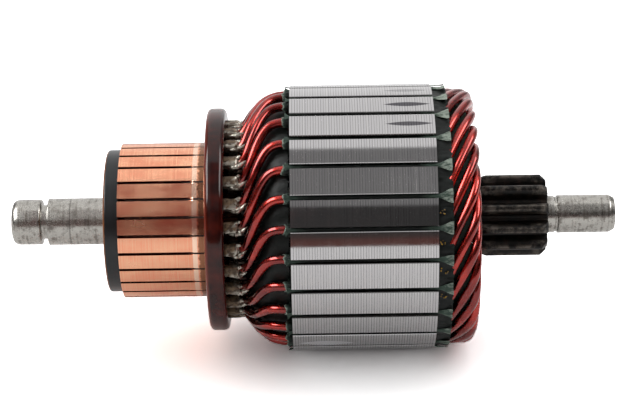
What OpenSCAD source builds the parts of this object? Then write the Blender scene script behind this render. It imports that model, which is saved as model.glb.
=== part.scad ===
// Armature of a planetary-gear starter motor: wound core, commutator and sun pinion on one shaft.
// The shaft lies along X, drive end towards +X, and +Z is up. The origin is on the shaft's axis,
// in the middle of the bearing journal at the commutator end. Millimetres.

/* [Shaft] */
// Diameter of the bearing journal at the commutator end
journal_d = 10; // [9.8:0.1:10.6]
// Length of that journal
journal_len = 13; // [11:0.5:15]
// Diameter at the bottom of the circlip groove
groove_d = 7.3; // [6:0.1:8.5]
// Width of the circlip groove, measured at its bottom
groove_w = 1.35; // [1:0.05:1.8]
// Diameter of the head outside the groove
head_d = 9.7; // [9:0.1:9.8]
// Length of the head
head_len = 6.35; // [5:0.05:9]
// Radius rounded on to the head's free end
head_round = 1.7; // [0.5:0.1:2.2]
// Diameter of the seat that the core is pressed on
core_seat_d = 13; // [12:0.1:15]
// Diameter of the pilot journal at the drive end
pilot_d = 8.1; // [7.5:0.1:9]
// Length of the pilot journal, chamfer included
pilot_len = 12.1; // [9:0.1:16]
// Length of the neck between the pinion and the pilot journal
neck_len = 2.6; // [1.5:0.1:3]

/* [Pinion] */
// Number of teeth of the sun pinion
tooth_count = 11; // [10:1:13]
// Module of the teeth
tooth_module = 1.35; // [1.3:0.01:1.4]
// Diameter over the teeth
pinion_d = 17.5; // [17:0.1:17.8]
// Length of the pinion
pinion_len = 14.2; // [11:0.1:18]
// Distance from the end turns to the pinion
pinion_gap = 1.15; // [0.5:0.05:2]
// Turn of the first tooth from straight up, in degrees
pinion_turn = 23.7; // [0:0.1:36]

/* [Commutator] */
// Diameter of the brush track
track_d = 33; // [32.4:0.1:33.4]
// Length of the bars in front of the riser ring
track_len = 18.25; // [16:0.05:20]
// Thickness of the mica between two bars
mica_t = 0.4; // [0.3:0.05:0.5]
// Width of the sawn slot over each mica
undercut_w = 0.65; // [0.6:0.05:0.8]
// Depth of the sawn slot
undercut_depth = 0.7; // [0.4:0.05:0.9]
// Diameter over the riser hooks that the wires are soldered into
riser_d = 42; // [41.9:0.1:42.4]
// Length of a riser hook along the shaft
riser_len = 2.55; // [2:0.05:2.8]
// Width of a riser hook
hook_w = 1.9; // [1.6:0.1:2.6]
// Thickness of a hook's top
hook_top_t = 0.55; // [0.4:0.05:0.55]
// Thickness of a hook's upright wall beside the ring
hook_wall_t = 0.65; // [0.5:0.05:0.7]
// Length of the moulded collar in front of the bars
collar_len = 3.15; // [2:0.05:4]
// Diameter of the moulded collar
collar_d = 30.4; // [29.5:0.1:31]
// Radius rounded on to the collar's front corner
collar_round = 0.5; // [0.2:0.1:1.2]

/* [Riser ring] */
// Outer diameter of the ring in front of the risers
ring_d = 47.6; // [45:0.1:49]
// Length of the ring along the shaft
ring_len = 4; // [3:0.1:4.6]
// Radius rounded on to the ring's outer corners
ring_round = 1.3; // [0.5:0.1:1.4]

/* [Core] */
// Number of core slots, which is also the number of bars and coils
slot_count = 27; // [27:1:27]
// Turn of the first slot from straight up, in degrees
slot_turn = 4.2; // [0:0.1:13.3]
// Diameter of the core
core_d = 56.8; // [56.6:0.1:58]
// Length of the lamination stack
core_len = 29.7; // [24:0.1:40]
// Distance from the risers to the core
winding_len = 11; // [10.8:0.1:12]
// Width of a slot inside
slot_w = 2.6; // [2.55:0.05:2.8]
// Width of a slot's opening at the surface
slot_opening = 0.9; // [0.7:0.1:1.4]
// Thickness of the slot's paper liner
liner_t = 0.18; // [0.1:0.01:0.18]

/* [Winding] */
// Diameter of the enamelled wire
wire_d = 1.9; // [1.6:0.05:1.9]
// Radius at which the outer layer lies in the slots
outer_layer_r = 26.35; // [26.3:0.05:26.4]
// Radius at which the inner layer lies in the slots
inner_layer_r = 24; // [23.95:0.05:24.05]
// How far the end turns reach beyond the core at the drive end
overhang = 9.15; // [9.1:0.05:9.9]
// How far the slot liners stick out of the core at each end
liner_out = 0.3; // [0.1:0.1:0.3]

/* [Hidden] */
$fn = 96;
pitch = 360 / slot_count;
// Gap left between curved faces that are pressed or moulded together
fit_gap = 0.02;

// Stations along the shaft, from the commutator end to the drive end
journal_b = journal_len / 2;
journal_a = -journal_b;
head_b = journal_a - groove_w;
head_a = head_b - head_len;
collar_a = journal_b + fit_gap;
bars_a = journal_b + collar_len;
ring_a = bars_a + track_len;
ring_b = ring_a + ring_len;
riser_a = ring_b + 0.05;
riser_b = riser_a + riser_len;
core_a = riser_b + winding_len;
core_b = core_a + core_len;
turns_b = core_b + overhang;
pinion_a = turns_b + pinion_gap;
pinion_b = pinion_a + pinion_len;
pilot_a = pinion_b + neck_len;
pilot_b = pilot_a + pilot_len;

// Radii of the bars: brush track, foot, waist of the dovetail and inner face of the foot
track_r = track_d / 2;
bar_root_r = 14.5;
waist_r = 13.2;
foot_r = 11.8;
dovetail = 1.5;
saw_r = 9;
track_end = ring_a - 3;
hub_seat_r = 5.5;
hub_b = riser_b + 0.7;

// Where the two wire ends lie under a hook, outer layer above inner layer, each just clear
end_clearance = 0.05;
inner_end_r = track_r + wire_d / 2 + end_clearance;
outer_end_r = inner_end_r + wire_d + end_clearance;
wire_end = riser_a + hook_wall_t + 0.1;

// Slots in the core, and the liner inside them
slot_floor_r = 22.7;
slot_roof_r = 27.65;
liner_gap = 0.05;

// The winding: both ends of a coil come to bars half a turn apart, less half a bar
coil_span = 7;
outer_shift = 2;
inner_shift = 4;
wire_sides = 8;

function two_digits(i) = i < 10 ? str("0", i) : str(i);
function bar_name(i) = str("commutator_bar_", two_digits(i));
function coil_name(i) = str("coil_", two_digits(i));

// The turn about the shaft of slot, bar or coil i, from straight up towards -Y
function slot_angle(i) = slot_turn + (i - 1) * pitch;

// A point at distance x along the shaft, radius r and turn a
function around(x, r, a) = [x, -r * sin(a), r * cos(a)];
function unit(v) = v / norm(v);

// Points of a circular arc about c
function arc(c, r, from, to, steps = 8) =
    [for (k = [0 : steps]) c + r * [cos(from + (to - from) * k / steps), sin(from + (to - from) * k / steps)]];

// Lays out a flat shape across the shaft, or a turned one about it: flat x goes to Y, flat y to Z
module across_shaft(x = 0) {
    translate([x, 0, 0])
        rotate([90, 0, 90])
            children();
}

module each_slot() {
    for (i = [1 : slot_count])
        rotate(slot_angle(i))
            children();
}

// ---- Shaft with its pinion ----

function involute(alpha) = tan(alpha) * 180 / PI - alpha;
pitch_r = tooth_module * tooth_count / 2;
base_r = pitch_r * cos(20);
tip_r = pinion_d / 2;
root_r = pitch_r - 1.15 * tooth_module;
pitch_half = (90 + 0.2 * tan(20) * 180 / PI) / tooth_count;

// Half the angle that a tooth takes up at radius r
function tooth_half(r) = pitch_half + involute(20) - involute(acos(min(1, base_r / r)));
function flank(side) = [
    for (k = [0 : 6])
        let (r = base_r + (tip_r - base_r) * k / 6)
        r * [side * sin(tooth_half(r)), cos(tooth_half(r))]
];

module tooth() {
    foot_half = tooth_half(base_r) + 1;
    left = concat([(root_r - 0.3) * [-sin(foot_half), cos(foot_half)]], flank(-1));
    right = concat([(root_r - 0.3) * [sin(foot_half), cos(foot_half)]], flank(1));
    polygon(concat(left, [for (k = [len(right) - 1 : -1 : 0]) right[k]]));
}

module pinion_section() {
    circle(r = root_r);
    for (k = [0 : tooth_count - 1])
        rotate(pinion_turn + k * 360 / tooth_count)
            tooth();
}

// Outline that the teeth are turned down to, with its end chamfers
module pinion_blank() {
    rotate_extrude()
        polygon([
            [0, pinion_a],
            [tip_r - 0.6, pinion_a],
            [tip_r, pinion_a + 1.5],
            [tip_r, pinion_b - 1.2],
            [tip_r - 1.15, pinion_b],
            [0, pinion_b]
        ]);
}

module turned_shaft() {
    head_r = head_d / 2;
    seat_r = core_seat_d / 2;
    pilot_r = pilot_d / 2;
    rotate_extrude()
        polygon(concat(
            [[0, head_a]],
            arc([head_r - head_round, head_a + head_round], head_round, -90, 0),
            arc([head_r - 0.9, head_b - 0.9], 0.9, 0, 75, 5),
            [
                [groove_d / 2, head_b],
                [groove_d / 2, journal_a],
                [journal_d / 2 - 0.25, journal_a],
                [journal_d / 2, journal_a + 0.25],
                [journal_d / 2, journal_b],
                [hub_seat_r, journal_b],
                [hub_seat_r, hub_b + 0.5],
                [seat_r, hub_b + 1.5],
                [seat_r, core_b],
                [seat_r + 1, core_b],
                [seat_r + 1, core_b + 3],
                [root_r - 0.5, core_b + 4.5],
                [root_r - 0.5, pinion_b - 1],
                [pilot_r - 0.12, pinion_b - 1],
                [pilot_r - 0.12, pilot_a - 0.7],
                [pilot_r - 0.3, pilot_a - 0.5],
                [pilot_r - 0.3, pilot_a - 0.2],
                [pilot_r, pilot_a],
                [pilot_r, pilot_b - 1.1],
                [pilot_r - 0.6, pilot_b],
                [0, pilot_b]
            ]
        ));
}

module shaft() {
    color("silver")
        across_shaft()
            union() {
                turned_shaft();
                intersection() {
                    translate([0, 0, pinion_a])
                        linear_extrude(pinion_len)
                            pinion_section();
                    pinion_blank();
                }
            }
}

// ---- Core ----

// The space of one slot, drawn straight up
module slot_section() {
    translate([-slot_w / 2, slot_floor_r])
        square([slot_w, slot_roof_r - slot_floor_r]);
    translate([-slot_opening / 2, slot_roof_r - 0.5])
        square([slot_opening, core_d / 2 - slot_roof_r + 1]);
}

module lamination_stack() {
    color("lightgray")
        across_shaft(core_a)
            linear_extrude(core_len)
                difference() {
                    circle(d = core_d, $fn = 180);
                    circle(r = core_seat_d / 2 + fit_gap);
                    each_slot()
                        slot_section();
                }
}

// A folded paper tube, open only at its ends
module liner_section() {
    w = slot_w - 2 * liner_gap;
    h = slot_roof_r - slot_floor_r - 2 * liner_gap;
    translate([-w / 2, slot_floor_r + liner_gap])
        difference() {
            square([w, h]);
            translate([liner_t, liner_t])
                square([w - 2 * liner_t, h - 2 * liner_t]);
        }
}

module slot_liners() {
    color("darkseagreen")
        across_shaft(core_a - liner_out)
            linear_extrude(core_len + 2 * liner_out)
                each_slot()
                    liner_section();
}

// ---- Commutator ----

// Outline of a bar through the shaft's axis, as [radius, distance along the shaft]
module bar_outline() {
    polygon([
        [track_r, bars_a],
        [track_r, riser_b],
        [bar_root_r, riser_b],
        [waist_r, riser_b - dovetail],
        [foot_r, riser_b - 0.4],
        [foot_r, bars_a + 0.4],
        [waist_r, bars_a + dovetail],
        [bar_root_r, bars_a]
    ]);
}

// The sector that one bar fills between its two micas, drawn straight up
module bar_sector() {
    reach = riser_d;
    inset = mica_t / 2 / sin(pitch / 2);
    half_w = (reach - inset) * tan(pitch / 2);
    polygon([[0, inset], [half_w, reach], [-half_w, reach]]);
}

// The saw's cut above one mica, ending in the curve of the blade
module saw_cut() {
    cut_floor = track_r - undercut_depth;
    translate([-undercut_w / 2, cut_floor, bars_a - 1])
        cube([undercut_w, riser_d, track_end - bars_a + 1 - 3]);
    translate([-undercut_w / 2, cut_floor + saw_r, track_end - 3])
        rotate([0, 90, 0])
            cylinder(r = saw_r, h = undercut_w);
}

// Outline of a riser hook, which stands on the bar and bends over towards the core
module hook_outline() {
    hook_r = riser_d / 2;
    polygon([
        [track_r - 1, riser_a],
        [hook_r - 0.3, riser_a],
        [hook_r, riser_a + 0.3],
        [hook_r, riser_b],
        [hook_r - hook_top_t, riser_b],
        [hook_r - hook_top_t, riser_a + hook_wall_t],
        [track_r - 1, riser_a + hook_wall_t]
    ]);
}

module riser_hook() {
    intersection() {
        rotate_extrude()
            hook_outline();
        translate([-hook_w / 2, 0, riser_a - 1])
            cube([hook_w, riser_d, riser_len + 2]);
    }
}

module commutator_bar(i) {
    color("sandybrown")
        across_shaft()
            rotate(slot_angle(i)) {
                difference() {
                    intersection() {
                        rotate_extrude()
                            bar_outline();
                        linear_extrude(hub_b)
                            bar_sector();
                    }
                    for (side = [-0.5, 0.5])
                        rotate(side * pitch)
                            saw_cut();
                }
                riser_hook();
            }
}

// One mica plate stands between each two bars, sawn down along the brush track
module mica_segments() {
    t = mica_t - fit_gap;
    color("saddlebrown")
        across_shaft()
            for (i = [1 : slot_count])
                rotate(slot_angle(i + 0.5))
                    difference() {
                        translate([-t / 2, foot_r, bars_a + dovetail])
                            cube([t, track_r - foot_r - 0.03, riser_b - bars_a - 2 * dovetail]);
                        saw_cut();
                    }
}

// The moulding grips the bars' feet in two undercut grooves
module commutator_hub() {
    color("dimgray")
        across_shaft()
            rotate_extrude()
                polygon(concat(
                    [[hub_seat_r + fit_gap, collar_a]],
                    arc([collar_d / 2 - collar_round, collar_a + collar_round], collar_round, -90, 0, 4),
                    [
                        [collar_d / 2, bars_a - fit_gap],
                        [bar_root_r - 0.04, bars_a - fit_gap],
                        [waist_r - 0.04, bars_a + dovetail - 0.06],
                        [foot_r - 0.04, bars_a + 0.34],
                        [foot_r - 0.04, riser_b - 0.34],
                        [waist_r - 0.04, riser_b - dovetail + 0.06],
                        [bar_root_r - 0.04, riser_b + fit_gap],
                        [bar_root_r + 1.5, riser_b + fit_gap],
                        [bar_root_r + 1.2, hub_b],
                        [hub_seat_r + fit_gap, hub_b]
                    ]
                ));
}

module riser_ring() {
    outer_r = ring_d / 2;
    bore_r = track_r + 0.05;
    color("firebrick")
        across_shaft()
            rotate_extrude()
                polygon(concat(
                    [[bore_r, ring_a]],
                    arc([outer_r - ring_round, ring_a + ring_round], ring_round, -90, 0),
                    arc([outer_r - ring_round, ring_b - ring_round], ring_round, 0, 90),
                    [[bore_r, ring_b]]
                ));
}

// ---- Winding ----

// The way of one coil as [distance along the shaft, radius, slots turned from the outer leg].
// It starts under a hook, goes through a slot in the outer layer, folds over at the drive end,
// comes back through another slot in the inner layer and ends under a second hook.
fold = turns_b - wire_d / 2;
fold_in = fold - 2.15;
inner_leg = coil_span;
last_riser = coil_span + inner_shift;
coil_way = [
    [wire_end, outer_end_r, -outer_shift],
    [riser_b - 0.4, outer_end_r, -outer_shift],
    [riser_b + 0.8, outer_end_r + 0.1, 0.03 - outer_shift],
    [riser_b + 1.75, outer_end_r + 1.3, 0.22 - outer_shift],
    [riser_b + 2.7, outer_end_r + 2.8, 0.64 - outer_shift],
    [riser_b + 3.7, outer_layer_r - 2.95, -0.92],
    [riser_b + 4.8, outer_layer_r - 1.85, -0.48],
    [core_a - 4.6, outer_layer_r - 0.75, -0.1],
    [core_a - 2.8, outer_layer_r - 0.15, 0],
    [core_a - 0.9, outer_layer_r, 0],
    [core_a + 1, outer_layer_r, 0],
    [core_a + 5, outer_layer_r, 0],
    [core_b - 5, outer_layer_r, 0],
    [core_b - 0.8, outer_layer_r, 0],
    [core_b + 0.6, outer_layer_r, 0],
    [core_b + 1.8, outer_layer_r, 0.15],
    [core_b + 3.2, outer_layer_r, 0.68],
    [core_b + 4.8, outer_layer_r, 1.22],
    [fold - 1.9, outer_layer_r, 1.7],
    [fold - 0.3, outer_layer_r - 0.25, 2.29],
    [fold, outer_layer_r - 2.15, 2.86],
    [fold, outer_layer_r - 4.15, 3.33],
    [fold - 0.3, outer_layer_r - 5.85, 3.62],
    [fold_in + 0.23, inner_layer_r - 3.59, 3.9],
    [fold_in - 0.06, inner_layer_r - 2.34, 4.16],
    [fold_in, inner_layer_r - 0.4, 4.82],
    [fold_in - 0.9, inner_layer_r, 5.12],
    [core_b + 3.4, inner_layer_r, inner_leg - 1.08],
    [core_b + 2.03, inner_layer_r - 0.08, inner_leg - 0.44],
    [core_b + 1.14, inner_layer_r, inner_leg - 0.06],
    [core_b + 0.7, inner_layer_r, inner_leg],
    [core_b - 2, inner_layer_r, inner_leg],
    [core_b - 5, inner_layer_r, inner_leg],
    [core_a + 5, inner_layer_r, inner_leg],
    [core_a + 2, inner_layer_r, inner_leg],
    [core_a + 0.8, inner_layer_r, inner_leg],
    [core_a - 0.6, inner_layer_r, inner_leg],
    [core_a - 1.36, inner_layer_r - 0.15, inner_leg + 0.11],
    [core_a - 2.29, inner_layer_r - 0.85, inner_leg + 0.45],
    [core_a - 2.9, inner_layer_r - 2.1, inner_leg + 1.15],
    [core_a - 4, inner_layer_r - 3.5, inner_leg + 1.85],
    [core_a - 5.2, inner_layer_r - 4.8, inner_leg + 2.6],
    [core_a - 6.6, inner_end_r + 0.5, last_riser - 0.6],
    [core_a - 7.8, inner_end_r, last_riser - 0.1],
    [riser_b + 1.5, inner_end_r, last_riser],
    [riser_b - 0.2, inner_end_r, last_riser],
    [wire_end, inner_end_r, last_riser]
];
way_end = len(coil_way) - 1;

// The way with its corners eased, as a cubic spline passes its knots
function eased(k) =
    k == 0 || k == way_end
    ? coil_way[k]
    : (coil_way[k - 1] + 4 * coil_way[k] + coil_way[k + 1]) / 6;

// Station k of the coil whose outer leg lies at turn a
function station(k, a) =
    let (s = eased(k))
    around(s[0], s[1], a - s[2] * pitch);

// The direction round the shaft at station k, which the wire's section is laid out from
function round_shaft(k, a) =
    let (t = a - eased(k)[2] * pitch)
    [0, -cos(t), -sin(t)];

module coil(i) {
    a = slot_angle(i);
    points = [
        for (k = [0 : way_end])
            let (
                along = unit(station(min(k + 1, way_end), a) - station(max(k - 1, 0), a)),
                w = round_shaft(k, a),
                side = unit(w - (w * along) * along),
                up = cross(along, side)
            )
            for (j = [0 : wire_sides - 1])
                let (turn = (j + 0.5) * 360 / wire_sides)
                station(k, a) + wire_d / 2 * (cos(turn) * side + sin(turn) * up)
    ];
    walls = [
        for (k = [0 : way_end - 1])
            for (j = [0 : wire_sides - 1])
                let (
                    p = k * wire_sides + j,
                    q = k * wire_sides + (j + 1) % wire_sides
                )
                for (face = [[p, p + wire_sides, q], [q, p + wire_sides, q + wire_sides]])
                    face
    ];
    first_cap = [for (j = [0 : wire_sides - 1]) j];
    last_cap = [for (j = [wire_sides - 1 : -1 : 0]) way_end * wire_sides + j];
    color("brown")
        polyhedron(points, concat(walls, [first_cap, last_cap]));
}

shaft();
lamination_stack();
slot_liners();
commutator_hub();
mica_segments();
riser_ring();
for (i = [1 : slot_count]) commutator_bar(i);
for (i = [1 : slot_count]) coil(i);
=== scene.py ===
import math
import bmesh
import bpy
import numpy as np
from mathutils import Matrix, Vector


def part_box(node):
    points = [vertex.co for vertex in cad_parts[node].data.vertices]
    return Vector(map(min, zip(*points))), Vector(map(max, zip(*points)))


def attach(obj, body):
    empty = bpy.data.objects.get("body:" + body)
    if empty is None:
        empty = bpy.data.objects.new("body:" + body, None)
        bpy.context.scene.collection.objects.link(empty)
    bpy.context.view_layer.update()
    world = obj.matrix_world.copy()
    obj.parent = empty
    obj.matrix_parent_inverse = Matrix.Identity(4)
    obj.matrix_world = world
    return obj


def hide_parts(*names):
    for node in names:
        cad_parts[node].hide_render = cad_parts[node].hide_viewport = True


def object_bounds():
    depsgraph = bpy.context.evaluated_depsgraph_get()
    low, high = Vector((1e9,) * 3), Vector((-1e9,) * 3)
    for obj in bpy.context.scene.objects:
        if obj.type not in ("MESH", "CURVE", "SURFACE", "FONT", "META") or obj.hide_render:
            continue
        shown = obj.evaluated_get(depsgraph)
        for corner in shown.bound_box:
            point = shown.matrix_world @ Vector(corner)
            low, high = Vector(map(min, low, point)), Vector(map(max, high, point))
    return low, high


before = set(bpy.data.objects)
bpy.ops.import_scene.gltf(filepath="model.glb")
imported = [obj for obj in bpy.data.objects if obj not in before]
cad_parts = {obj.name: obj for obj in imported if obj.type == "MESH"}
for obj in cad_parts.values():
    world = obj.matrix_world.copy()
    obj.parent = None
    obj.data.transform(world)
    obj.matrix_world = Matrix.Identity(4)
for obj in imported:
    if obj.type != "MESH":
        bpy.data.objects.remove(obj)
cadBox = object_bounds()

mm = 0.001
slotCount = 27
pitch = 2 * math.pi / slotCount
firstSlot = math.radians(4.2)  # the first slot's turn from straight up, towards -Y
seeded = np.random.default_rng(27)


def boxOf(node):
    # lowest and highest corners of a CAD node, in mm
    low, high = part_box(node)
    return np.array(low) / mm, np.array(high) / mm


core = boxOf("lamination_stack")
coreA, coreB, coreR = core[0][0], core[1][0], core[1][2]
ring = boxOf("riser_ring")
ringA, ringB, ringR = ring[0][0], ring[1][0], ring[1][2]
shaftBox = boxOf("shaft")
headEnd, pilotEnd = shaftBox[0][0], shaftBox[1][0]
riserB = boxOf("commutator_bar_01")[1][0]
turnsB = boxOf("coil_01")[1][0]
print("frame loaded, core from %.1f to %.1f mm" % (coreA, coreB))

# tools that the pieces share


def aroundShaft(x, radius, turn):
    # point at distance x along the shaft, a radius from it, turned from straight up towards -Y
    x, radius, turn = np.broadcast_arrays(x, radius, turn)
    return np.stack([x, -radius * np.sin(turn), radius * np.cos(turn)], -1)


def gridFaces(rows, cols, loopRows=False, loopCols=True, first=0):
    # quads between neighbouring rows and columns of a grid of points
    r, c = np.meshgrid(np.arange(rows if loopRows else rows - 1),
                       np.arange(cols if loopCols else cols - 1), indexing="ij")
    nextR, nextC = (r + 1) % rows, (c + 1) % cols
    quads = np.stack([r * cols + c, r * cols + nextC, nextR * cols + nextC, nextR * cols + c], -1)
    return (quads.reshape(-1, 4) + first).tolist()


def endCaps(rows, cols, first=0):
    # one face over each end of a grid whose columns close
    return [list(range(first, first + cols)), list(range(first + (rows - 1) * cols, first + rows * cols))]


def makePiece(name, points, faces, material, replaced=(), sharp=35, marks=None):
    # a mesh from points in mm, with normals turned outwards and edges over the sharp angle kept crisp
    mesh = bpy.data.meshes.new(name)
    mesh.from_pydata((np.asarray(points, float).reshape(-1, 3) * mm).tolist(), [], faces)
    for key, values in (marks or {}).items():
        layer = mesh.attributes.new(key, "FLOAT", "POINT")
        layer.data.foreach_set("value", np.asarray(values, np.float32).ravel())
    work = bmesh.new()
    work.from_mesh(mesh)
    bmesh.ops.recalc_face_normals(work, faces=work.faces)
    work.to_mesh(mesh)
    work.free()
    mesh.shade_smooth()
    mesh.set_sharp_from_angle(angle=math.radians(sharp))
    mesh.materials.append(material)
    piece = bpy.data.objects.new(name, mesh)
    bpy.context.scene.collection.objects.link(piece)
    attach(piece, "root")
    if replaced:
        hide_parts(*replaced)
    return piece


def turned(profile, sides, wobble=None):
    # profile of (x, radius) carried once round the shaft; wobble(x, radius, turn) gives changed x and radius
    profile = np.asarray(profile, float)
    turn = np.linspace(0, 2 * math.pi, sides, endpoint=False)
    x, radius = profile[:, :1] + 0 * turn, profile[:, 1:] + 0 * turn
    if wobble:
        x, radius = wobble(x, radius, turn)
    return aroundShaft(x, radius, turn)


def roundedProfile(corners, steps=6):
    # corners are (x, radius, rounding); each corner becomes an arc-like curve through its two tangent points
    corners = np.asarray(corners, float)
    out = [corners[0, :2]]
    t = np.linspace(0, 1, steps)[:, None]
    for before, here, after in zip(corners[:-2], corners[1:-1], corners[2:]):
        a, b, c = before[:2], here[:2], after[:2]
        toA, toC = (a - b), (c - b)
        pull = min(here[2], 0.49 * np.linalg.norm(toA), 0.49 * np.linalg.norm(toC))
        if pull < 1e-6:
            out.append(b)
            continue
        p, q = b + toA / np.linalg.norm(toA) * pull, b + toC / np.linalg.norm(toC) * pull
        out.extend((1 - t) ** 2 * p + 2 * t * (1 - t) * b + t ** 2 * q)
    out.append(corners[-1, :2])
    return np.array(out)


def splinePath(knots, steps):
    # uniform cubic B-spline through the eased knots, its ends held at the first and last knot
    k = np.vstack([2 * knots[0] - knots[1], knots, 2 * knots[-1] - knots[-2]])
    t = (np.arange(steps) / steps)[None, :, None]
    a, b, c, d = (k[i:len(k) - 3 + i][:, None, :] for i in range(4))
    curve = ((1 - t) ** 3 * a + (3 * t ** 3 - 6 * t ** 2 + 4) * b
             + (-3 * t ** 3 + 3 * t ** 2 + 3 * t + 1) * c + t ** 3 * d) / 6
    return np.vstack([curve.reshape(-1, knots.shape[1]), knots[-1]])


def tube(path, radius, sides, guide):
    # circle of the given radius carried along the path; guide fixes where its first point lies
    along = np.gradient(path, axis=0)
    along /= np.linalg.norm(along, axis=1)[:, None]
    side = guide - (guide * along).sum(1)[:, None] * along
    side /= np.linalg.norm(side, axis=1)[:, None]
    up = np.cross(along, side)
    turn = np.linspace(0, 2 * math.pi, sides, endpoint=False)[None, :, None]
    radius = np.broadcast_to(radius, len(path))[:, None, None]
    return path[:, None] + radius * (np.cos(turn) * side[:, None] + np.sin(turn) * up[:, None])


def superBox(rows, cols, boxy=1.0):
    # a rounded box as a sphere whose sines and cosines are raised to a small power: three grids from -1 to 1
    def power(v):
        return np.sign(v) * np.abs(v) ** boxy

    level = np.linspace(-math.pi / 2, math.pi / 2, rows)[:, None]
    circle = np.linspace(0, 2 * math.pi, cols, endpoint=False)
    flat = power(np.cos(level))
    return flat * power(np.cos(circle)), flat * power(np.sin(circle)), power(np.sin(level)) + 0 * circle


def joined(shapes):
    # several (points, faces) put into one list of points and one of faces
    points, faces, first = [], [], 0
    for p, f in shapes:
        p = np.asarray(p).reshape(-1, 3)
        points.append(p)
        faces.extend([[v + first for v in face] for face in f])
        first += len(p)
    return np.vstack(points), faces


# materials


def linear(code):
    # sRGB hex to linear RGBA
    c = np.array([int(code[i:i + 2], 16) for i in (0, 2, 4)]) / 255
    return (*np.where(c <= 0.04045, c / 12.92, ((c + 0.055) / 1.055) ** 2.4), 1.0)


def addNode(tree, kind, inputs=None, **settings):
    # adds a node, sets its properties, and fills or links its inputs
    made = tree.nodes.new("ShaderNode" + kind)
    for key, value in settings.items():
        setattr(made, key, value)
    for key, value in (inputs or {}).items():
        socket = made.inputs[key]
        if isinstance(value, bpy.types.NodeSocket):
            tree.links.new(value, socket)
        else:
            socket.default_value = value
    return made


def newMaterial(name, **sockets):
    # a material with one Principled shader, its constant values set on the shader's own sockets
    material = bpy.data.materials.new(name)
    material.use_nodes = True
    tree = material.node_tree
    shader = tree.nodes["Principled BSDF"]
    for key, value in sockets.items():
        shader.inputs[key.replace("_", " ")].default_value = value
    return material, tree, shader


def objectAxes(tree):
    # object position, its x, and the angle round the shaft from straight up towards -Y
    place = addNode(tree, "TexCoord").outputs["Object"]
    split = addNode(tree, "SeparateXYZ", {0: place})
    back = addNode(tree, "Math", {0: split.outputs[1], 1: -1.0}, operation="MULTIPLY").outputs[0]
    turn = addNode(tree, "Math", {0: back, 1: split.outputs[2]}, operation="ARCTAN2").outputs[0]
    return place, split.outputs[0], turn


def calc(tree, operation, a, b=0.0, c=0.0, clamp=False):
    return addNode(tree, "Math", {0: a, 1: b, 2: c}, operation=operation, use_clamp=clamp).outputs[0]


def ramp(tree, value, low, high, outLow=0.0, outHigh=1.0, kind="SMOOTHSTEP"):
    # value from low to high becomes outLow to outHigh
    return addNode(tree, "MapRange", {0: value, 1: low, 2: high, 3: outLow, 4: outHigh},
                   interpolation_type=kind).outputs[0]


def blendColours(tree, amount, first, second, how="MIX"):
    node = addNode(tree, "Mix", {0: amount}, data_type="RGBA", blend_type=how)
    for socket, value in ((node.inputs[6], first), (node.inputs[7], second)):
        if isinstance(value, bpy.types.NodeSocket):
            tree.links.new(value, socket)
        else:
            socket.default_value = value
    return node.outputs[2]


def noise(tree, place, size, detail=3.0, rough=0.55, stretch=(1, 1, 1)):
    # noise whose blobs are about size mm across, stretched along the axes
    scaled = addNode(tree, "Mapping", {"Vector": place, "Scale": [1 / (size * mm * s) for s in stretch]}).outputs[0]
    return addNode(tree, "TexNoise", {"Vector": scaled, "Scale": 1.0, "Detail": detail,
                                      "Roughness": rough}).outputs[0]


def turnedLines(tree, x, spacing, seedValue=0.0):
    # noise that changes only along the shaft, for lathe and grinding lines
    w = calc(tree, "MULTIPLY", x, 1 / (spacing * mm))
    return addNode(tree, "TexNoise", {"W": calc(tree, "ADD", w, seedValue), "Scale": 1.0, "Detail": 2.0},
                   noise_dimensions="1D").outputs[0]


def bumped(tree, shader, height, distance, strength=1.0):
    node = addNode(tree, "Bump", {"Height": height, "Distance": distance * mm, "Strength": strength})
    tree.links.new(node.outputs[0], shader.inputs["Normal"])
    return node


def enamelledCopper():
    # red-brown enamel over copper: deep red metal under a clear gloss, tinned at the soldered ends, near black on the
    # inner layer at the commutator end, which is varnish and painted shade inside the winding
    values = {"enamel": "b22a1e", "deep": "7a150f", "tin": "8f8578", "varnishedShade": "140605"}
    material, tree, shader = newMaterial("enamelled_copper_wire", Metallic=1.0, Coat_Weight=0.8, Coat_Roughness=0.06,
                                         Coat_IOR=1.6)
    place, x, turn = objectAxes(tree)
    patches = noise(tree, place, 6.0)
    red = blendColours(tree, ramp(tree, patches, 0.35, 0.65), linear(values["deep"]), linear(values["enamel"]))
    bare = addNode(tree, "Attribute", attribute_name="bare").outputs["Fac"]
    # this mark turns the inner layer near black at the commutator end: varnish and painted shade
    innerShade = addNode(tree, "Attribute", attribute_name="innerShade").outputs["Fac"]
    red = blendColours(tree, innerShade, red, linear(values["varnishedShade"]))
    tree.links.new(blendColours(tree, bare, red, linear(values["tin"])), shader.inputs["Base Color"])
    tree.links.new(ramp(tree, noise(tree, place, 2.0), 0.3, 0.7, 0.22, 0.32), shader.inputs["Roughness"])
    bumped(tree, shader, noise(tree, place, 5.0, detail=0.0), 0.02)
    return material


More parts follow.
